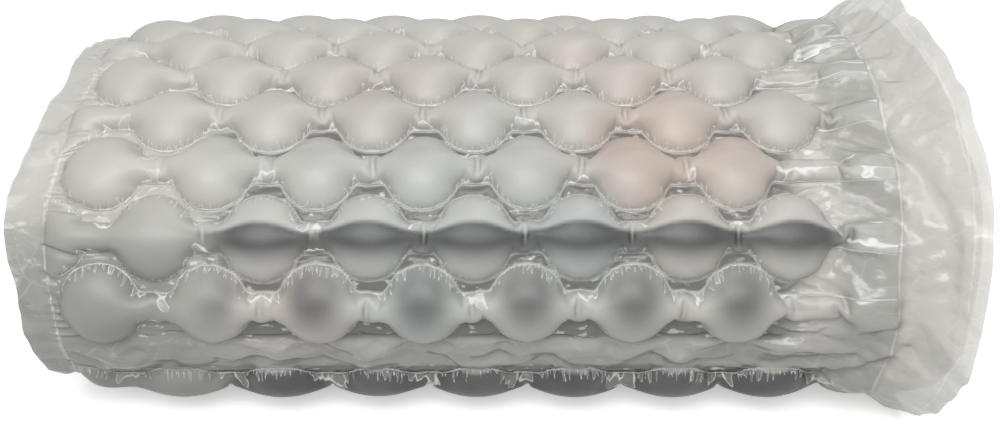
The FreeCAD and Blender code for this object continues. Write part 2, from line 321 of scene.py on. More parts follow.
@dataclass
class Film:
    """One turn of film on its grid, with rows first and columns second.

    x, u and h hold each point's place: u is how far it has slid round the land from
    its even place s.  web, land and places say how it is laid out, and coarse is 1 for
    the full grid or 2 for every second point.  The masks say what the film is there.
    """

    web: Web
    land: Land
    places: int
    coarse: int
    x: Array = field(default=None)
    u: Array = field(default=None)
    h: Array = field(default=None)

    def __post_init__(self) -> None:
        """Lay the grid out flat on the land."""
        columns, self.cell_x = self.web.columns(self.coarse)
        self.cell_x = np.float32(self.cell_x)
        rows = self.places * self.web.cells_per_row // self.coarse
        self.step = self.land.length / rows
        self.s = (np.arange(rows) * self.step)[:, None]
        self.columns = columns
        reach = self.web.reach(self.s / self.land.length)
        skirt = np.maximum(columns - self.web.seal, 0)
        fin = np.clip((self.web.start - columns) / self.web.left_edge, 0, 1)
        out = self.web.left_reach(self.s / self.land.length) * bool(self.web.strips)
        self.x = columns - skirt + skirt * reach - fin * out
        longer = np.where(fin > 0, 1 + out / self.web.left_edge, 1.0)
        self.film_x = self.cell_x * np.where(skirt > 0, reach, longer)
        spare = np.interp(columns, [self.web.left_end, self.web.start, self.web.end,
                                    self.web.seal, self.web.length / 2],
                          [1.10, self.web.slack_s, self.web.slack_s, 1.15, 1.235])
        self.film_s = (self.step * spare).astype(np.float32)
        strip = step(self.strip_distance(), 0.30, 0.60)
        self.around = np.stack([self.land.at(self.s)[4], 0.86 + 0.14 * strip]
                               ).astype(np.float32)
        self.u = np.zeros_like(self.x)
        self.h = np.zeros_like(self.x)

    def strip_distance(self) -> Array:
        """How far each row of points is from a strip's middle.

        Returns:
            Distances in places, at most 9, one for each row.
        """
        place = (self.s / self.land.length * self.places
                 - self.web.first_row / Land().length * self.places)
        away = np.full_like(self.s, 9.0)
        for strip in self.web.strips:
            off = (place - strip + self.places / 2) % self.places - self.places / 2
            away = np.minimum(away, np.abs(off))
        return away

    def chain(self, place: int, wobble: Array) -> Chain:
        """The chain of pillows at one place round the turn.

        It is a row of circles joined by straight necks.  Its half width at x is the
        larger of a circle's, sqrt(radius^2 - dx^2), and the neck's, with a soft change
        from one to the other.  Its height is crest(x) * sqrt(1 - (t / half width)^2),
        where the crest is the cube root of the sum of a pillow's and the neck's cubed.

        Args:
            place: number of the place, which holds no strip.
            wobble: for each pillow, how much its radius and places stray.

        Returns:
            The chain.
        """
        web, x = self.web, self.columns[None, :]
        even = web.row(place) is Row.EVEN
        first = web.start + (0.0 if even else web.pitch / 2)
        number = (x - first) / web.pitch
        last = web.pillows if even else web.pillows - 1
        nearest = np.clip(np.rint(number), 0, last)
        dx = x - first - nearest * web.pitch
        pick = nearest.astype(int)
        radius = web.radius + wobble[0][pick]
        circle = np.sqrt(np.maximum(radius ** 2 - (dx - wobble[1][pick]) ** 2, 0))
        inlet = number > last
        onward = np.maximum(dx, 0)
        neck = np.where(inlet, web.inlet + (web.neck - web.inlet)
                        * np.exp(-onward / web.narrowing_run), web.neck)
        neck = np.where((number < 0) | (x > web.seal - 0.001), 0.0, neck)
        wide = web.meeting * np.logaddexp(circle / web.meeting, neck / web.meeting)
        wide = np.where(neck > 0, wide, circle)
        crest = web.rise * np.sqrt(np.maximum(1 - (dx / (radius * 1.13)) ** 2, 0))
        low = np.where(inlet, web.inlet_rise + (web.neck_rise - web.inlet_rise)
                       * np.exp(-onward / web.sinking_run), web.neck_rise)
        low = np.where(number < 0, 0.0, low)
        crest = (crest ** 3 + low ** 3) ** (1 / 3)
        if even:
            wide = np.where(x < web.start, 0.0, wide)
            crest = crest * np.sqrt(np.clip((x - web.start) / web.rising_run, 0, 1))
        turn = self.land.length
        t = self.s - (self.first_row + place * turn / self.places)
        t = (t + turn / 2) % turn - turn / 2 - wobble[2][pick]
        across = np.abs(t) / np.maximum(wide, 1e-6)
        dome = crest * np.sqrt(np.maximum(1 - across ** 2, 0))
        pressure = np.where(inlet & (dx > 0.018), 0.3, 1.0)
        return Chain(dx, t, pick, wide, dome, pressure)

    def chambers(self) -> tuple[Array, Array, Array]:
        """Lay all the chains on the grid, and note whose each point is.

        Returns:
            height, depth in from the outline (negative outside) and the air's share
            of full pressure.
        """
        web = self.web
        pitch_s = self.land.length / self.places
        self.first_row = web.first_row * self.land.length / Land().length
        nominal = (self.s - self.first_row) / pitch_s
        full = np.ones_like(self.x)
        height = np.zeros_like(self.x)
        inside = np.full_like(self.x, -1.0)
        air = np.zeros_like(self.x)
        self.owner = np.rint(nominal) % self.places * full
        self.rise_t = (nominal - np.rint(nominal)) * pitch_s * full
        self.off = np.full_like(self.x, web.pitch / 2)
        self.arc = np.zeros_like(self.x)
        self.teeth = np.zeros_like(self.x)
        jitter = np.random.default_rng(7)
        for place in range(self.places):
            wobble = jitter.normal(0, web.unevenness, (4, web.pillows + 2))
            if web.row(place) is Row.STRIP:
                continue
            chain = self.chain(place, wobble)
            depth = chain.wide - np.abs(chain.t)
            here = np.abs(chain.t) / np.maximum(chain.wide, 1e-6) < 1
            height = np.where(here, np.maximum(height, chain.dome), height)
            inside = np.maximum(inside, np.where(chain.wide > 0, depth, -1.0))
            air = np.where(here, chain.pressure, air)
            arc, teeth = self.outline_frame(chain.dx, chain.t, chain.pillow, depth)
            arc = arc + 0.5 * (2 * place + (chain.t > 0))
            for kept, value in ((self.owner, place), (self.rise_t, chain.t),
                                (self.off, chain.dx), (self.arc, arc),
                                (self.teeth, teeth)):
                kept[here] = (value * full)[here]
        return height, inside, air

    def outline_frame(self, dx: Array, t: Array, pillow: Array, inside: Array
                      ) -> tuple[Array, Array]:
        """Coordinates along and in from a chain's outline, for the fans of creases.

        The angle about the pillow's centre is atan2(|t|, dx); it is stretched so that
        it runs from 0 to pi between the pillow's two necks, and joins up there.

        Args:
            dx: place along the chain from the nearest pillow's centre.
            t: place across the chain.
            pillow: the pillow's number.
            inside: depth in from the outline.

        Returns:
            the way along the outline in metres, and how much a crease still shows:
            1 at the outline and 0 where the longest one ends.
        """
        turned = np.arctan2(np.abs(t), dx + 0 * t)
        least = np.arctan2(np.abs(t), self.web.pitch / 2)
        turned = np.pi * (turned - least) / np.maximum(np.pi - 2 * least, 0.3)
        arc = (np.pi * (pillow + 1) - np.clip(turned, 0, np.pi)) * self.web.radius
        longest = 0.0048 + 0.0036 * step(np.abs(dx), 0.006, 0.016) + 0 * t
        up = np.where(self.s / self.land.length < 0.25, t, np.where(
            self.s / self.land.length < 0.75, -t, t))
        longest = longest * np.where(up > 0, 1.15, 0.75)
        return arc, np.clip(1 - inside / longest, 0, 1)

    def shaped(self) -> "Film":
        """Give the film its plain blown shape, and the masks that say what is where.

        Returns:
            The film itself.
        """
        web = self.web
        height, self.inside, self.air = self.chambers()
        x = self.columns[None, :] * np.ones_like(self.s)
        strip = (self.strip_distance() < 0.42) * np.ones_like(x)
        sealed = (x >= web.start - 0.0002) & (x <= web.end - 0.004)
        self.weld = sealed & (self.inside < 0) & (strip < 0.5)
        self.weld |= np.abs(x - web.start + 0.001) < 0.0012
        self.frill = np.clip((x - web.seal) / web.right_edge, 0, 1)
        self.fin = np.clip((web.start - x) / web.left_edge, 0, 1)
        self.loose = (strip > 0.5) & sealed | (x > web.end - 0.004) & (self.inside < 0)
        self.loose |= self.fin > 0.1
        self.flared = self.land.floor_height(self.s, 0.0004)
        self.swell = 0.0034 * (1 - step(self.strip_distance(), 0.25, 0.5)) * np.maximum(
            np.cos(2 * np.pi * (x - web.start) / web.pitch), -0.4)
        self.swell *= sealed
        self.h = np.where(self.inside > 0, height, 0.0) + self.ruffles()
        self.h = np.minimum(self.h, self.flared)
        return self

    def ruffles(self) -> Array:
        """Where loose film starts from: a flare with waves round it, and faint unrest.

        The flare grows from the valves to the skirt's rim; the waves are three cosines
        of the way round, with phases that drift along the axis.

        Returns:
            Heights off the land.
        """
        web = self.web
        x = self.columns[None, :]
        turn = 2 * np.pi * self.s / self.land.length
        dice = np.random.default_rng(11)
        valve = np.clip((x - web.end) / web.valve, 0, 1)
        flare = (0.22 * valve + self.frill) * web.flare + 0.0015 * self.fin
        size = 0.0009 * valve + 0.0004 * self.frill + 0.0014 * self.fin
        waves = (np.cos(10 * turn + 35 * x + 1.0) + 0.6 * np.cos(17 * turn - 60 * x)
                 + 0.4 * np.cos(27 * turn + 90 * x + 2.0))
        unrest = dice.normal(0, 0.00025, self.x.shape)
        lumps = blurred(dice.normal(0, 1, self.x.shape), 14 // self.coarse ** 2 + 4)
        lumps *= (0.0016 * self.loose + 0.0006 * valve) / lumps.std()
        unrest[self.weld] = 0
        lumps = lumps * (self.inside < 0) * ~self.weld
        return flare + size * waves + unrest + lumps + self.swell

    def limits(self) -> tuple[Array, Array]:
        """How low and how high off the land each point may lie.

        Returns:
            The least and the greatest heights.
        """
        low = np.full_like(self.x, -0.0030)
        high = np.full_like(self.x, 0.0060)
        low[self.inside > 0] = 0.0
        lip = 2.2 * self.inside + 0.0002
        high = np.where(self.inside > 0, np.minimum(self.web.most_rise, lip), high)
        low[self.weld], high[self.weld] = -0.0007, 0.0007
        skirt = self.columns[None, :] > self.web.end
        low = np.where(skirt, np.where(self.inside > 0, 0.0, -0.002), low)
        high = np.where(skirt, 0.010 + self.frill * (self.web.flare + 0.004), high)
        high = np.where(self.fin > 0, 0.007, high)
        high = np.minimum(high, self.flared)
        return np.minimum(low, high), high

    def finer(self) -> "Film":
        """The same film on a grid with cells half as long.

        Returns:
            A new film, whose new points lie midway between the old ones.
        """
        fine = Film(self.web, self.land, self.places, self.coarse // 2).shaped()
        for name in ("x", "u", "h"):
            value = getattr(self, name)
            rows = np.repeat(value, 2, axis=0)
            rows[1::2] = (value + np.roll(value, -1, axis=0)) / 2
            full = np.empty((rows.shape[0], 2 * rows.shape[1] - 1))
            full[:, 0::2] = rows
            full[:, 1::2] = (rows[:, :-1] + rows[:, 1:]) / 2
            setattr(fine, name, full)
        return fine

    def tautened(self, passes: int) -> None:
        """Even out taut pillows and the wide loose edges, then crease what is loose.

        Args:
            passes: how often the pillows are evened; the loose film is evened more.
        """
        ends = np.maximum(step(self.frill, 0.02, 0.25), 0.9 * step(self.fin, 0.05, 0.4))
        strip = 0.6 * self.loose * (self.frill + self.fin == 0)
        calm = np.maximum(0.97 * ends, strip)
        taut = np.clip((self.inside - 0.0025) / 0.005, 0, 1)
        for count in range(passes + 9):
            share = np.maximum(taut, calm) if count < passes else calm
            self.h = evened(self.h, share)
            self.u = evened(self.u, calm)
            self.x = self.columns + evened(self.x - self.columns, calm)
        broad = crumpled(self.x, self.s, self.land.length, 0.030, 5)
        tight = crumpled(self.x, self.s, self.land.length, 0.014, 6)
        loose = self.loose * (self.inside < 0) * (1 - ends)
        self.h += (0.0024 * broad + 0.0009 * tight) * ends
        self.h += 0.0012 * tight * blurred(loose, 3)
        self.h = np.minimum(self.h, self.flared)


@dataclass(frozen=True)
class Blowing:
    """Air pressure and patience of the relaxing, which makes the film take its shape.

    Each round moves every point on by its last move and a push of the air, then pulls
    every cell side and diagonal back to its film length.  Film hardly stretches, and
    gives way under a push along itself, so spare film folds into creases.
    """

    rounds: int
    air: float
    drag: float = 0.90
    stretch: float = 1.0
    crush: float = 0.65
    bend: float = 0.13
    bend_share: float = 0.93
    anchor: float = 0.010

    @staticmethod
    def pull(a: Array, b: Array, along: float, rest: Array | float, curve: Array,
             taut: float, slack: float) -> None:
        """Bring pairs of points to a film length apart, each moving half of the way.

        The length is that of (dx, ds * (1 + curvature * h), dh).

        Args:
            a: views of the first points, with x, u and h in the first axis.
            b: views of the second points.
            along: how far apart their even places round the land are.
            rest: the film's length between them.
            curve: curvature of the land there.
            taut: share of the error mended where the film is too long.
            slack: share of the error mended where it is too short.
        """
        stretch = 1 + curve * (a[2] + b[2]) * 0.5
        dx = b[0] - a[0]
        ds = (b[1] - a[1] + np.float32(along)) * stretch
        dh = b[2] - a[2]
        far = np.sqrt(dx * dx + ds * ds + dh * dh) + np.float32(1e-9)
        error = (far - rest) / far
        error *= np.where(error > 0, np.float32(taut * 0.5), np.float32(slack * 0.5))
        dx *= error
        ds *= error / stretch
        dh *= error
        a[0] += dx
        b[0] -= dx
        a[1] += ds
        b[1] -= ds
        a[2] += dh
        b[2] -= dh

    def sides(self, q: Array, film: "Film", around: Array) -> None:
        """Pull the cells' sides and diagonals that start on even rows.

        Args:
            q: the points, with x, u and h in the first axis.
            film: gives the cells' lengths.
            around: the land's curvature and the film's spare length, row by row.
        """
        here, spare = around[:, 0::2]
        side = film.film_s * spare
        cross = np.hypot(film.cell_x, side)[:, :-1]
        even, odd = q[:, 0::2], q[:, 1::2]
        self.pull(even, odd, film.step, side, here, self.stretch, self.crush)
        self.pull(even[:, :, :-1], odd[:, :, 1:], film.step, cross, here,
                  self.stretch * 0.5, self.crush * 0.3)
        self.pull(even[:, :, 1:], odd[:, :, :-1], film.step, cross, here,
                  self.stretch * 0.5, self.crush * 0.3)

    def spans(self, q: Array, film: "Film", curve: Array) -> None:
        """Pull the cells' other sides, along the roll's axis.

        Args:
            q: the points, with x, u and h in the first axis.
            film: gives the cells' lengths.
            curve: the land's curvature, row by row.
        """
        for first in (0, 1):
            a, b = q[:, :, first:-1:2], q[:, :, first + 1::2]
            self.pull(a, b, 0.0, film.film_x[:, first + 1::2].astype(np.float32), curve,
                      self.stretch, self.crush)

    def folds(self, q: Array, film: "Film", around: Array) -> None:
        """Keep points two cells apart from folding onto each other.

        Args:
            q: the points, with x, u and h in the first axis.
            film: gives the cells' lengths.
            around: the land's curvature and the film's spare length, row by row.
        """
        rows, columns = q.shape[1], q.shape[2]
        fours = q.reshape(3, rows // 4, 4, columns)
        curve, spare = around.reshape(2, rows // 4, 4, 1)[:, :, 0:2]
        self.pull(fours[:, :, 0:2], fours[:, :, 2:4], 2 * film.step,
                  film.film_s * spare * np.float32(2 * self.bend_share),
                  curve, 0.0, self.bend)
        for first in (0, 2):
            count = (columns - first) // 4
            part = q[:, :, first:first + 4 * count]
            a = part.reshape(3, rows, count, 4)[..., 0:2]
            b = part.reshape(3, rows, count, 4)[..., 2:4]
            self.pull(a, b, 0.0, 2 * film.cell_x * self.bend_share,
                      around[0][:, :, None], 0.0, self.bend)

    @staticmethod
    def outward(q: Array, film: "Film", curve: Array) -> Array:
        """The film's outward unit normal, from the cross product of its two steps.

        Args:
            q: the points, with x, u and h in the first axis.
            film: gives the step between rows.
            curve: the land's curvature, row by row.

        Returns:
            The normal in x, u and h, in the first axis.
        """
        along = np.gradient(q, axis=2)
        around = (np.roll(q, -1, axis=1) - np.roll(q, 1, axis=1)) * np.float32(0.5)
        around[1] += np.float32(film.step)
        stretch = 1 + curve * q[2]
        along[1] *= stretch
        around[1] *= stretch
        normal = np.cross(along, around, axis=0)
        normal /= np.linalg.norm(normal, axis=0) + np.float32(1e-12)
        normal[1] /= stretch
        return normal

    def relax(self, film: "Film") -> None:
        """Let the film find its shape.

        Args:
            film: is changed in place.
        """
        q = np.stack([film.x, film.u, film.h]).astype(np.float32)
        around = film.around
        curve = around[0]
        low, high = (limit.astype(np.float32) for limit in film.limits())
        home = q[:2].copy()
        hold = np.where(film.weld, np.float32(self.anchor), np.float32(0))
        hold = np.stack([np.maximum(hold, 0.04 * (film.fin > 0)), hold])
        push = film.air.astype(np.float32) * np.float32(self.air)
        move = np.zeros_like(q)
        normal = self.outward(q, film, curve)
        for count in range(self.rounds):
            if count % 6 == 0:
                normal = self.outward(q, film, curve)
            before = q.copy()
            q += move
            q += normal * push
            self.spans(q, film, curve)
            self.sides(q, film, around)
            self.folds(q, film, around)
            q = np.roll(q, -1, axis=1)
            self.sides(q, film, np.roll(around, -1, axis=1))
            q = np.roll(q, -1, axis=1)
            self.folds(q, film, np.roll(around, -2, axis=1))
            q = np.roll(q, 2, axis=1)
            q[:2] += (home - q[:2]) * hold
            np.clip(q[2], low, high, out=q[2])
            move = (q - before) * np.float32(self.drag)
        film.x, film.u, film.h = q.astype(float)


class Socket:
    """One output of a shader node, on which arithmetic adds Math nodes."""

    def __init__(self, nodes: "Nodes", out: bpy.types.NodeSocket) -> None:
        """Keep the output and the tree that it is in."""
        self.nodes = nodes
        self.out = out

    def _math(self, operation: str, first: object, second: object) -> "Socket":
        """A Math node on two values."""
        return self.nodes.make("ShaderNodeMath", {"operation": operation},
                               {0: first, 1: second})

    def __add__(self, other: object) -> "Socket":
        """self + other."""
        return self._math("ADD", self, other)

    __radd__ = __add__

    def __sub__(self, other: object) -> "Socket":
        """self - other."""
        return self._math("SUBTRACT", self, other)

    def __rsub__(self, other: object) -> "Socket":
        """other - self."""
        return self._math("SUBTRACT", other, self)

    def __mul__(self, other: object) -> "Socket":
        """self * other."""
        return self._math("MULTIPLY", self, other)

    __rmul__ = __mul__

    def __abs__(self) -> "Socket":
        """The value without its sign."""
        return self.nodes.make("ShaderNodeMath", {"operation": "ABSOLUTE"}, {0: self})

    def clamped(self, low: float, high: float) -> "Socket":
        """The value, kept between two limits."""
        return self.nodes.make("ShaderNodeClamp", {},
                               {"Value": self, "Min": low, "Max": high})

    def smooth(self, low: float, high: float) -> "Socket":
        """0 below low and 1 above high, with a smooth step between them."""
        return self.nodes.make("ShaderNodeMapRange", {"interpolation_type": "SMOOTHSTEP"},
                               {"Value": self, "From Min": low, "From Max": high})


class Nodes:
    """Makes the nodes of one material or world."""

    def __init__(self, owner: bpy.types.ID) -> None:
        """Empty the owner's node tree."""
        owner.use_nodes = True
        self.tree = owner.node_tree
        self.tree.nodes.clear()

    def make(self, kind: str, settings: dict, values: dict, output: object = 0) -> Socket:
        """Add a node: its settings are set first, then its sockets.

        Args:
            kind: the node's type.
            settings: its properties by name.
            values: values or sockets to link, by input name or number.
            output: name or number of the output to give back.

        Returns:
            That output.
        """
        node = self.tree.nodes.new(kind)
        for name, value in settings.items():
            setattr(node, name, value)
        for key, value in values.items():
            if isinstance(value, Socket):
                self.tree.links.new(value.out, node.inputs[key])
            else:
                node.inputs[key].default_value = value
        return Socket(self, node.outputs[output] if node.outputs else None)

    def place(self, scale: tuple[float, float, float] = (1, 1, 1)) -> Socket:
        """Object coordinates, stretched by scale."""
        where = self.make("ShaderNodeTexCoord", {}, {}, "Object")
        return self.make("ShaderNodeMapping", {}, {"Vector": where, "Scale": scale})

    def noise(self, where: Socket, scale: float, detail: float = 2.0) -> Socket:
        """Soft noise from 0 to 1."""
        return self.make("ShaderNodeTexNoise", {},
                         {"Vector": where, "Scale": scale, "Detail": detail})

    def attribute(self, name: str) -> Socket:
        """A number stored on the mesh's points."""
        return self.make("ShaderNodeAttribute", {"attribute_name": name}, {}, "Fac")

    def blend(self, share: object, first: object, second: object) -> Socket:
        """A mix of two colours."""
        return self.make("ShaderNodeMix", {"data_type": "RGBA"},
                         {0: share, 6: first, 7: second}, 2)


@dataclass(frozen=True)
class FilmFinish:
    """Milky polyethylene film: hazy, with painted highlights at welds and creases.

    What the film wraps is painted on it as soft dark and tinted patches, because the
    haze of several plies blurs it, and the dark patches also hold painted shade.  Only
    the loose edges can be looked through.
    """

    name: str = "clear_film"
    edge_name: str = "clear_film_edge"
    colour: tuple[float, float, float, float] = (0.525, 0.518, 0.483, 1)
    edge_colour: tuple[float, float, float, float] = (0.58, 0.572, 0.535, 1)
    # colour of the painted highlights
    highlight_colour: tuple[float, float, float, float] = (0.84, 0.84, 0.81, 1)
    # colour of the painted shade: the carton seen through the haze, and shade
    dark: tuple[float, float, float, float] = (0.035, 0.038, 0.038, 1)
    # colour of the painted shade in the gaps between pillows at the welds
    deep: tuple[float, float, float, float] = (0.10, 0.103, 0.094, 1)
    warm: tuple[float, float, float, float] = (0.56, 0.42, 0.36, 1)
    cool: tuple[float, float, float, float] = (0.40, 0.46, 0.47, 1)
    glow: tuple[float, float, float, float] = (0.55, 0.55, 0.52, 1)
    clear: float = 0.80
    milky: float = 0.06
    creased: float = 0.10
    rough: float = 0.42
    glossy: float = 0.20
    through: float = 0.20
    refraction: float = 1.5
    cloud_scale: float = 55.0
    grain_scale: float = 620.0
    crimp_scale: float = 190.0
    shard_scale: float = 62.0
    # strengths of the painted highlights on creases, rims, seams, cracks, crease teeth and
    # crease lines
    crease_highlight: float = 0.26
    rim_highlight: float = 0.55
    seam_highlight: float = 0.30
    crack_highlight: float = 0.12
    tooth_highlight: float = 0.14
    line_highlight: float = 0.62
    relief: float = 0.0010

    def fan(self, nodes: Nodes) -> tuple[Socket, Socket]:
        """Creases that run in from the pillows' outlines, as filled teeth and lines, which
        the material paints as highlights; the teeth are also bumps.

        A level is noise, drawn out across the outline, plus a part that is most at the
        outline and a part that bunches the creases.  Teeth are where it is high, and
        lines are where it passes one value.

        Args:
            nodes: the material's nodes.

        Returns:
            The teeth and the lines, each from 0 to 1.
        """
        inside = nodes.attribute("inside")
        along = nodes.attribute("arc")
        where = nodes.make("ShaderNodeCombineXYZ", {}, {
            "X": along * 430.0, "Y": inside * 70.0, "Z": 0.0})
        cluster = nodes.noise(nodes.place(), 95.0, 1.0)
        level = (nodes.noise(where, 1.0, 2.0) + nodes.attribute("teeth") * 0.24
                 + 0.32 * (cluster - 0.5))
        filled = level.smooth(0.70, 0.74)
        line = 1 - abs(level - 0.71).smooth(0.008, 0.030)
        shown = nodes.attribute("teeth").smooth(0.02, 0.12)
        return filled * shown, line * shown

    def material(self, edge: bool) -> bpy.types.Material:
        """The film's material.

        Its colour is mixed from the tints of what lies behind and from painted shade, then
        given painted shade in the gaps at the welds, then painted highlights along rims,
        seams, fans, creases and crimps.  A rim is where the depth in from an outline is
        within a few tenths of a millimetre of 0.3 mm, and a seam is the same about 0 for
        the distance from a straight weld.

        Args:
            edge: true for the loose edges, which can be looked through.

        Returns:
            The new material.
        """
        made = bpy.data.materials.new(self.edge_name if edge else self.name)
        nodes = Nodes(made)
        inside = nodes.attribute("inside")
        crease = nodes.attribute("crease")
        painted_shade = nodes.attribute("painted_shade")
        loose = nodes.attribute("loose")
        where = nodes.place()
        cloud = nodes.noise(where, self.cloud_scale, 2.0)
        grain = nodes.noise(where, self.grain_scale, 1.0)
        crimp = nodes.noise(nodes.place((1.0, 1.0, 2.2)), self.crimp_scale, 3.0)
        haze = 1 - inside.smooth(0.0, 0.0032)
        weld = (0 - inside).smooth(0.0, 0.0009) * (1 - loose)
        rim = (1 - abs(inside - 0.0003).smooth(0.0001, 0.00042)) * (1 - 0.75 * loose)
        seam = 1 - abs(nodes.attribute("seam") + 0.003 * (cloud - 0.5)
                       ).smooth(0.0001, 0.0006)
        filled, line = self.fan(nodes)
        colour = nodes.blend(nodes.attribute("warm"),
                             self.edge_colour if edge else self.colour, self.warm)
        colour = nodes.blend(nodes.attribute("cool"), colour, self.cool)
        # painted shade, with some random tone from the cloud noise
        painted_shade_share = (painted_shade + 0.12 * (cloud - 0.5)).clamped(0, 1)
        colour = nodes.blend(painted_shade_share, colour, self.dark)
        # painted shade in the gaps between pillows at the welds, where the carton lies
        # behind
        colour = nodes.blend((weld * nodes.attribute("deep") * 0.85).clamped(0, 1), colour,
                             self.deep)
        shard = nodes.make("ShaderNodeTexVoronoi", {"feature": "DISTANCE_TO_EDGE"}, {
            "Vector": nodes.place((1.0, 1.5, 1.5)), "Scale": self.shard_scale,
            "Randomness": 1.0})
        # painted highlights: on crack lines in loose film, and glints on crimps at the
        # welds and in loose film
        cracks = (1 - shard.smooth(0.0, 0.05)) * loose * cloud.smooth(0.45, 0.60)
        glints = crimp.smooth(0.60, 0.68) * (weld * 0.55 + loose * 0.10)
        # all painted highlights, mixed into the colour towards the highlight colour
        painted_highlights = (glints + crease * self.crease_highlight + rim * self.rim_highlight
                   + seam * self.seam_highlight + cracks * self.crack_highlight
                   + filled * self.tooth_highlight + line * self.line_highlight).clamped(0, 1)
        colour = nodes.blend(painted_highlights, colour, self.highlight_colour)
        rough = (self.rough - (self.rough - self.glossy) * haze
                 + 0.10 * (cloud - 0.5)).clamped(0.08, 0.7)
        height = (grain * 0.12 + crimp * (weld + loose * 0.5) + filled * 0.6 + rim * 0.5
                  + shard.smooth(0.0, 0.4) * loose * 0.6)
        bump = nodes.make("ShaderNodeBump", {}, {"Strength": 0.55, "Distance": self.relief,
                                                 "Height": height}, "Normal")
        shiny = nodes.make("ShaderNodeBsdfPrincipled", {}, {
            "Base Color": colour, "Roughness": rough, "IOR": self.refraction,
            "Normal": bump})
        glow = nodes.make("ShaderNodeBsdfTranslucent", {}, {"Color": self.glow})
        body = nodes.make("ShaderNodeMixShader", {}, {
            0: (self.through * (1 - painted_shade)), 1: shiny, 2: glow})
        if edge:
            alpha = (self.clear + self.milky * haze + self.creased * painted_highlights + 0.3 * painted_shade
                     + 0.10 * (cloud - 0.5)).clamped(0.05, 0.97)
            clear = nodes.make("ShaderNodeBsdfTransparent", {}, {})
            body = nodes.make("ShaderNodeMixShader", {}, {0: alpha, 1: clear, 2: body})
        nodes.make("ShaderNodeOutputMaterial", {}, {"Surface": body})
        return made


@dataclass(frozen=True)
class CartonFinish:
    """Dark printed board, in soft fields of colour."""

    name: str = "dark_carton"
    colour: tuple[float, float, float, float] = (0.07, 0.075, 0.08, 1)
    warm: tuple[float, float, float, float] = (0.20, 0.10, 0.075, 1)
    green: tuple[float, float, float, float] = (0.07, 0.10, 0.08, 1)

    def material(self) -> bpy.types.Material:
        """The carton's material: one dark colour with two soft patches of others.

        Returns:
            The new material.
        """
        made = bpy.data.materials.new(self.name)
        nodes = Nodes(made)
        where = nodes.place()
        patch = nodes.noise(where, 9.0, 1.0).smooth(0.5, 0.68)
        other = nodes.noise(nodes.place((1.3, 0.8, 1.0)), 7.0, 1.0).smooth(0.5, 0.7)
        fibre = nodes.noise(where, 900.0, 4.0)
        colour = nodes.blend(patch, self.colour, self.warm)
        colour = nodes.blend(other, colour, self.green)
        bump = nodes.make("ShaderNodeBump", {}, {"Strength": 0.2, "Distance": 0.0003,
                                                 "Height": fibre}, "Normal")
        board = nodes.make("ShaderNodeBsdfPrincipled", {}, {
            "Base Color": colour, "Roughness": (0.5 + 0.15 * fibre), "Normal": bump})
        nodes.make("ShaderNodeOutputMaterial", {}, {"Surface": board})
        return made


def surface(name: str, points: Array, values: dict[str, Array], edge: Array
            ) -> bpy.types.Object:
    """A mesh of four-sided faces on a grid whose rows close round the roll.

    Args:
        name: the piece's name.
        points: rows by columns by x, y, z.
        values: numbers for each point, by attribute name.
        edge: which columns of faces take the second material.

    Returns:
        The new object, facing outwards.
    """
    rows, columns = points.shape[:2]
    j, i = np.meshgrid(np.arange(rows), np.arange(columns - 1), indexing="ij")
    onward = (j + 1) % rows
    quads = np.stack([j * columns + i, j * columns + i + 1,
                      onward * columns + i + 1, onward * columns + i], axis=-1)
    mesh = bpy.data.meshes.new(name)
    mesh.vertices.add(rows * columns)
    mesh.vertices.foreach_set("co", points.astype(np.float32).ravel())
    count = quads.size // 4
    mesh.loops.add(count * 4)
    mesh.loops.foreach_set("vertex_index", quads.astype(np.int32).ravel())
    mesh.polygons.add(count)
    mesh.polygons.foreach_set("loop_start", np.arange(0, 4 * count, 4, dtype=np.int32))
    mesh.polygons.foreach_set("use_smooth", np.ones(count, dtype=bool))
    mesh.polygons.foreach_set("material_index",
                              np.tile(edge.astype(np.int32), rows))
    mesh.update(calc_edges=True)
    mesh.validate()
    for key, value in values.items():
        made = mesh.attributes.new(key, "FLOAT", "POINT")
        made.data.foreach_set("value", value.astype(np.float32).ravel())
    piece = bpy.data.objects.new(name, mesh)
    bpy.context.scene.collection.objects.link(piece)
    return piece


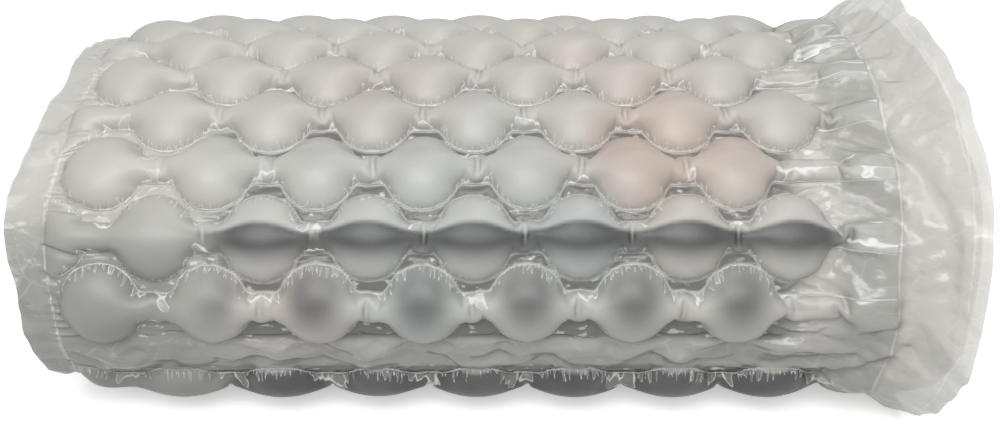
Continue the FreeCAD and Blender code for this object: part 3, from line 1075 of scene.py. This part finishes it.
@dataclass
class Studio:
    """Pale floor, soft lights and the camera.

    The floor and the surround have one brightness for rays that look at them and a
    lower one for the light that they throw on the roll.
    """

    distance: float = 0.6688
    elevation: float = math.radians(24.43)
    focal: float = 1.376
    lowered: float = 0.0205
    centre: float = 0.0695
    aimed_at: float = 0.07
    sensor: float = 36.0
    reach: float = 4.0
    ambient: float = 0.32
    floor_shade: float = 0.52
    floor_seen: float = 0.93
    floor_lit: float = 0.46

    def camera(self) -> None:
        """Put the camera in front, looking down at the roll."""
        made = bpy.data.cameras.new("camera")
        made.sensor_width = self.sensor
        made.lens = self.sensor * self.focal
        piece = bpy.data.objects.new("camera", made)
        bpy.context.scene.collection.objects.link(piece)
        piece.location = (0, -self.distance * math.cos(self.elevation),
                          self.centre + self.distance * math.sin(self.elevation))
        tilt = self.elevation + math.atan(self.lowered / self.focal)
        piece.rotation_euler = (math.pi / 2 - tilt, 0, 0)
        made.clip_start = 0.01
        bpy.context.scene.camera = piece

    def lamp(self, name: str, place: tuple[float, float, float],
             size: tuple[float, float], power: float) -> None:
        """Make a soft light that is aimed at the roll.

        Args:
            name: the light's name.
            place: where it stands.
            size: its width and height.
            power: in watts.
        """
        made = bpy.data.lights.new(name, "AREA")
        made.shape = "RECTANGLE"
        made.size, made.size_y = size
        made.energy = power
        piece = bpy.data.objects.new(name, made)
        bpy.context.scene.collection.objects.link(piece)
        piece.location = place
        aim = -np.array(place) + np.array([0, 0, self.aimed_at])
        across = math.hypot(aim[0], aim[1])
        piece.rotation_euler = (math.pi / 2 - math.atan2(-aim[2], across), 0,
                                math.atan2(aim[1], aim[0]) - math.pi / 2)

    @staticmethod
    def seen(nodes: Nodes) -> Socket:
        """1 for rays that look straight at the surroundings, or by way of a gloss."""
        rays = [nodes.make("ShaderNodeLightPath", {}, {}, name) for name in
                ("Is Camera Ray", "Is Glossy Ray", "Is Transmission Ray")]
        return (rays[0] + rays[1] + rays[2]).clamped(0, 1)

    def build(self) -> None:
        """Make the floor, lights, world and camera."""
        scene = bpy.context.scene
        scene.view_settings.view_transform = "Standard"
        self.camera()
        self.lamp("key_light", (-0.10, -1.05, 0.95), (1.2, 0.6), 15)
        self.lamp("top_light", (0.10, -0.05, 1.50), (2.2, 0.5), 11)
        world = bpy.data.worlds.new("surround")
        scene.world = world
        nodes = Nodes(world)
        seen = self.seen(nodes)
        back = nodes.make("ShaderNodeBackground", {}, {
            "Color": nodes.blend(seen, grey(self.ambient), grey(1.0))})
        nodes.make("ShaderNodeOutputWorld", {}, {"Surface": back})
        mesh = bpy.data.meshes.new("floor")
        mesh.from_pydata([(self.reach * x, self.reach * y, 0) for x, y in
                          ((-1, -1), (1, -1), (1, 1), (-1, 1))], [], [(0, 1, 2, 3)])
        floor = bpy.data.objects.new("floor", mesh)
        scene.collection.objects.link(floor)
        made = bpy.data.materials.new("floor_paint")
        nodes = Nodes(made)
        seen = self.seen(nodes)
        shade = nodes.blend(seen, grey(self.floor_shade), grey(self.floor_seen))
        lit = nodes.blend(seen, grey(0.0), grey(self.floor_lit))
        paint = nodes.make("ShaderNodeBsdfPrincipled", {}, {
            "Base Color": shade, "Roughness": 0.9, "Specular IOR Level": 0.1,
            "Emission Color": lit, "Emission Strength": 1.0})
        nodes.make("ShaderNodeOutputMaterial", {}, {"Surface": paint})
        mesh.materials.append(made)
        LOG.info("studio: floor, surround, camera and 2 lights")


@dataclass(frozen=True)
class ContentsAndShade:
    """How what is wrapped shows through the film, and the film's painted shade, for each
    place round the roll.

    low_x and high_x are where the dark carton starts and ends.  band and spot give the
    strength of the painted dark band and the painted dark round spots on each place's
    row of pillows, which stand for the carton seen through the haze.
    """

    low_x: float = -0.118
    high_x: float = 0.136
    lowest_row: int = 17
    spot_rise: float = 0.0062
    spot_size: float = 0.0116
    # strengths of the painted shade at the necks and on the low strips
    neck_dark: float = 0.16
    strip_dark: float = 0.30
    band: tuple[float, ...] = (0.93, 0.10, 0.06, 0.05, 0.04, 0.04, 0.05, 0.06, 0.10, 0.50,
                               0.35, 0.30, 0.20, 0.60, 0.60, 0.60, 0.60, 0.94, 0.10, 0.02)
    spot: tuple[float, ...] = (0.10, 0.16, 0.14, 0.12, 0.08, 0.05, 0.05, 0.10, 0.14, 0.20,
                               0.35, 0.30, 0.10, 0.30, 0.30, 0.30, 0.30, 0.20, 0.16, 0.84)
    # x, place round the roll, radius and strength of each tinted patch
    warm: tuple[tuple[float, float, float, float], ...] = (
        (0.055, 1.0, 0.026, 0.75), (0.096, 1.1, 0.020, 0.5), (-0.050, 2.4, 0.034, 0.45),
        (0.070, 2.3, 0.024, 0.45), (-0.085, 19.0, 0.018, 0.35), (0.030, 3.6, 0.04, 0.25),
        (-0.04, 9.0, 0.04, 0.3), (0.08, 7.5, 0.03, 0.3))
    cool: tuple[tuple[float, float, float, float], ...] = (
        (0.034, 0.0, 0.022, 0.6), (-0.030, 1.0, 0.060, 0.30), (-0.035, 19.0, 0.018, 0.35),
        (0.02, 10.0, 0.05, 0.3))

    def patches(self, film: Film, spots: tuple[tuple[float, float, float, float], ...]
                ) -> Array:
        """Sum of soft round patches, each strength * exp(-(distance / radius)^2).

        Args:
            film: where the patches lie.
            spots: x, place, radius and strength of each.

        Returns:
            The sum at each point.
        """
        place = film.s * film.places / film.land.length - film.web.first_row \
            * film.places / Land().length
        total = np.zeros_like(film.x)
        for x, where, radius, strength in spots:
            off = (place - where + film.places / 2) % film.places - film.places / 2
            off = off * film.land.length / film.places
            total += strength * np.exp(-((film.x - x) ** 2 + off ** 2) / radius ** 2)
        return total

    def painted_shade(self, film: Film, along: Array) -> Array:
        """How dark the film is painted, by what lies behind and by painted shade.

        A row's band is bounded by two lines that wave with the pillows, and a spot is
        exp(-(distance^2 / size^2)^1.5) about a point a little over the pillow's middle.
        The lowest row's band covers its pillows up to near their tops as painted shade.
        Necks and low strips get painted shade evenly; the left end and the inlets' valves
        get painted shade that is stronger where the turn faces sideways or down.

        Args:
            film: the finished ply.
            along: 1 where the dark carton lies behind, 0 past its ends.

        Returns:
            Darkness at each point, from 0 to 0.95.
        """
        web = film.web
        owner = film.owner.astype(int) % len(self.band)
        share = film.s / film.land.length
        up = film.rise_t * np.where((share > 0.25) & (share < 0.75), -1, 1)
        lobe = np.cos(2 * np.pi * film.off / web.pitch)
        edge = 0.0024 + 0.0014 * lobe
        # painted shade standing for the carton seen through the haze: a dark band on each
        # row, and a round spot a little over each pillow's middle
        band = 1 - step(up, edge - 0.0008, edge + 0.0014)
        band *= step(up, -0.0104 - 0.0024 * lobe, -0.0016)
        # painted shade: on the lowest row the band covers the pillows up to near their
        # tops
        band = np.where(film.owner == self.lowest_row,
                        1 - step(up, 0.0148, 0.0166), band)
        away = film.off ** 2 + (up - self.spot_rise) ** 2
        spot = np.exp(-(away / self.spot_size ** 2) ** 1.5)
        dark = np.array(self.band)[owner] * band + np.array(self.spot)[owner] * spot
        # painted shade at the necks
        dark += self.neck_dark * step(film.teeth, 0.05, 0.5) * (lobe < 0)
        # painted shade on the strips of the lowest places
        dark += self.strip_dark * step(-film.strip_distance(), -0.6, -0.4) * (owner > 15)
        dark *= along
        across = film.columns * np.ones_like(film.s)
        # painted shade on the left end and the inlets' valves, stronger where the turn
        # faces sideways or down than on top
        low = 1 - step(film.land.at(film.s)[3], 0.30, 0.95)
        dark += (0.07 + 0.46 * low) * (1 - step(film.x, -0.140, -0.105))
        dark += (0.30 + 0.04 * low) * (step(across, web.end - 0.010, web.end + 0.004)
                                       - 0.9 * step(across, web.seal, web.seal + 0.004))
        return np.clip(dark, 0, 0.95)

    def show(self, film: Film) -> dict[str, Array]:
        """What the film's finish reads: outlines, creases, painted shade and tints.

        Args:
            film: the finished ply.

        Returns:
            A number for each point, by attribute name.
        """
        web, inside = film.web, film.inside
        # folds in the film, which the finish whitens as painted highlights
        fold = step(film.h - blurred(film.h, 3), 0.00012, 0.00070)
        fold *= (1 - step(inside, 0.002, 0.005)) * np.where(film.loose, 0.6, 1.0)
        along = (step(film.x, self.low_x - 0.014, self.low_x + 0.012)
                 * (1 - step(film.x, self.high_x - 0.006, self.high_x + 0.010)))
        across = film.columns * np.ones_like(film.s)
        seam = np.minimum.reduce([np.abs(across - web.seal), np.abs(across - web.start),
                                  np.abs(across - web.length / 2 + 0.006)])
        return {"inside": np.clip(inside, -0.008, 0.020) - 0.004 * (across > web.seal),
                "arc": film.arc, "teeth": film.teeth, "seam": seam, "crease": fold,
                "painted_shade": self.painted_shade(film, along),
                # where the gaps at the welds get painted shade: over the carton, fading
                # out before its right end
                "deep": along * (1 - step(film.x, 0.112, 0.130)),
                "loose": np.maximum(blurred(film.loose * 1.0, 2),
                                    0.7 * step(across, web.end + 0.002, web.end + 0.008)),
                "warm": np.clip(self.patches(film, self.warm) * along, 0, 1),
                "cool": np.clip(self.patches(film, self.cool) * along, 0, 1)}


def step(value: Array, low: float | Array, high: float | Array) -> Array:
    """A smooth step: 0 below low, 1 above high, 3t^2 - 2t^3 between them."""
    t = np.clip((value - low) / (high - low), 0, 1)
    return t * t * (3 - 2 * t)


def evened(value: Array, share: Array) -> Array:
    """Bring points towards the mean of their neighbours; the rims only along the rim.

    Args:
        value: numbers on the grid.
        share: how far each point goes, from 0 to 1.

    Returns:
        The new numbers.
    """
    round_mean = (np.roll(value, 1, 0) + np.roll(value, -1, 0)) / 2
    mean = round_mean.copy()
    mean[:, 1:-1] = (round_mean[:, 1:-1] * 2 + value[:, :-2] + value[:, 2:]) / 4
    return value + (mean - value) * share


def crumpled(x: Array, s: Array, turn: float, size: float, seed: int) -> Array:
    """Creased film, as a sum of folded planes that each show in patches of their own.

    A folded plane is |2 frac(u) - 1|, with u counting folds across a random direction.
    Its patches are the product of a sine along the axis and one round the roll, with
    a whole number of waves in a turn, so that the start meets the end.

    Args:
        x: place along the axis.
        s: place round the roll.
        turn: the way once round.
        size: about how long a fold is.
        seed: of the random numbers.

    Returns:
        Heights about 0, mostly within 1.
    """
    dice = np.random.default_rng(seed)
    total = np.zeros(np.broadcast(x, s).shape)
    for angle in dice.uniform(0.6, np.pi - 0.6, 10):
        fold = size * dice.uniform(0.6, 1.6)
        around = np.rint(np.sin(angle) / fold * turn) / turn
        bend = 0.3 * np.sin(2 * np.pi * (x / (4 * fold) + dice.uniform()))
        count = x * np.cos(angle) / fold + s * around + bend + dice.uniform()
        waves = np.rint(turn / (size * dice.uniform(2.5, 5.0)))
        patch = (np.sin(2 * np.pi * (x / (size * dice.uniform(2, 4)) + dice.uniform()))
                 * np.sin(2 * np.pi * (waves * s / turn + dice.uniform())))
        total += np.clip(patch, 0, 1) * (np.abs(2 * np.mod(count, 1) - 1) - 0.5)
    return total


def lowest(value: Array, cells: int) -> Array:
    """The least value in the square of points round each point.

    Args:
        value: numbers on a grid whose rows close round the roll.
        cells: how many points away the square reaches.

    Returns:
        The least values, shaped as value.
    """
    rows, columns = value.shape
    wide = np.pad(value, ((cells, cells), (0, 0)), mode="wrap")
    wide = np.pad(wide, ((0, 0), (cells, cells)), mode="edge")
    moves = range(2 * cells + 1)
    return np.minimum.reduce([wide[down:down + rows, along:along + columns]
                              for down in moves for along in moves])


def grey(level: float) -> tuple[float, float, float, float]:
    """A colour without hue."""
    return (level, level, level, 1.0)


def blurred(value: Array, passes: int) -> Array:
    """The mean of each point and its four neighbours, taken again for each pass.

    Args:
        value: numbers on the grid.
        passes: how often.

    Returns:
        The blurred numbers.
    """
    for _ in range(passes):
        value = (np.roll(value, 1, 0) + np.roll(value, -1, 0)
                 + np.roll(value, 1, 1) + np.roll(value, -1, 1) + value) / 5
    return value


@dataclass
class Roll:
    """The blown film's two turns.

    turn_thickness is how far the inner turn lies within the outer one, ply_gap keeps a
    turn's two plies apart, inward is how deep the lining's domes are beside the outer
    ply's, and ground is the least height of any film over the floor.
    """

    web: Web = field(default_factory=Web)
    land: Land = field(default_factory=Land)
    turn_thickness: float = 0.0195
    ply_gap: float = 0.0004
    inward: float = 0.66
    ground: float = 0.0003
    outer_places: int = 20
    inner_places: int = 16
    outer_rounds: int = 300
    finer_rounds: int = 140
    inner_rounds: int = 120
    air: float = 2e-5
    contents: ContentsAndShade = field(default_factory=ContentsAndShade)

    def blow(self, film: Film, rounds: int, air: float) -> None:
        Blowing(rounds=rounds, air=air).relax(film)

    def skin(self, name: str, film: Film, materials: list[bpy.types.Material]
             ) -> bpy.types.Object:
        """Make a ply of film a piece of the model.

        Args:
            name: the piece's name.
            film: the ply.
            materials: for the blown part, and for its loose edges.

        Returns:
            The new object.
        """
        points = film.land.lifted(film.x, film.s + film.u, film.h)
        points[..., 2] = np.maximum(points[..., 2], self.ground)
        middle = (film.columns[1:] + film.columns[:-1]) / 2
        edge = (middle > film.web.seal) | (middle < film.web.start)
        piece = surface(name, points, self.contents.show(film), edge)
        for material in materials:
            piece.data.materials.append(material)
        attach(piece, "root")
        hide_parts("air_pillow_film")
        LOG.info("%s: %d faces", name, len(piece.data.polygons))
        return piece

    def lining(self, film: Film) -> Film:
        """The ply on the inside of a turn, with domes that face inwards.

        Its grid is coarser, so it starts from the least heights near each point, which
        keeps it clear of the outer ply between its own points.

        Args:
            film: the outer ply.

        Returns:
            The inner ply, shaped but not relaxed.
        """
        inner = Film(film.web, film.land, film.places, 2).shaped()
        pick = (slice(None, None, 2 // film.coarse),) * 2
        h = lowest(film.h, 2)[pick]
        inner.x, inner.u = film.x[pick].copy(), film.u[pick].copy()
        apart = self.ply_gap + film.web.flare * 0.45 * inner.frill ** 1.3
        web = film.web
        valve = np.clip((inner.columns - web.end) / web.valve, 0, 1)
        lift = 0.22 * valve * web.flare * np.ones_like(h)
        blown = 1 - step(inner.columns, web.seal - 0.012, web.seal)
        share = (1 + self.inward) * blown * step(inner.inside, 0.0, 0.0008)
        inner.h = h - apart - share * np.maximum(h - lift, 0)
        return inner

    def build(self) -> None:
        """Make both turns of film."""
        finish = FilmFinish()
        materials = [finish.material(edge=False), finish.material(edge=True)]
        outer = Film(self.web, self.land, self.outer_places, 2).shaped()
        self.blow(outer, self.outer_rounds, self.air)
        outer = outer.finer()
        self.blow(outer, self.finer_rounds, self.air / 2)
        outer.tautened(5)
        self.skin("outer_turn_film", outer, materials)
        self.skin("outer_turn_lining", self.lining(outer), materials)
        inner_land = self.land.inset(self.turn_thickness)
        inner_web = Web(flare=0.004, most_rise=0.0102, strips=())
        inner = Film(inner_web, inner_land, self.inner_places, 2).shaped()
        self.blow(inner, self.inner_rounds, self.air)
        inner.tautened(3)
        self.skin("inner_turn_film", inner, materials)


def main() -> None:
    """Build the roll, dress the carton and set the studio up."""
    logging.basicConfig(level=logging.INFO, format="%(message)s")
    Roll().build()
    carton = bpy.data.objects["wrapped_carton"]
    board = CartonFinish().material()
    for slot in carton.material_slots:
        slot.material = board
    LOG.info("%s: %d faces", carton.name, len(carton.data.polygons))
    Studio().build()


if __name__ == "__main__":
    main()
